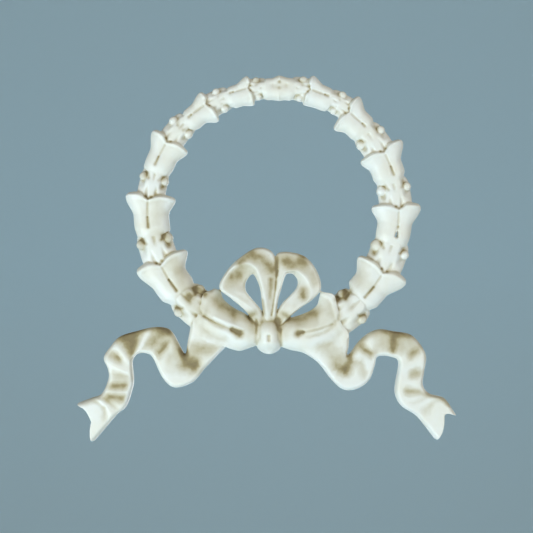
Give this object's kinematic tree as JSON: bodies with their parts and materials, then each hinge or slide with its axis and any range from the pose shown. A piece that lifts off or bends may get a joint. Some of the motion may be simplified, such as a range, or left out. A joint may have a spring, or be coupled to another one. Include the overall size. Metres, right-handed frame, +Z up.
{
  "type": "wreath and bow onlay",
  "caption": "Flat-backed cast onlay: an open ring of bellflower husks and berries tied with a ribbon bow and two waving, forked tails.",
  "frame": {"origin": "on the flat back, behind the middle of the bow's knot", "axes": "+X to the viewer's right across the wreath, +Y into the wall behind it, +Z up"},
  "size_m": [0.189, 0.0109, 0.1826],
  "materials": {
    "cast_resin": "satin ivory white with a thin tan wash left in the recesses"
  },
  "bodies": {
    "root": {"wreath_and_bow": "cast_resin"}
  },
  "joints": []
}
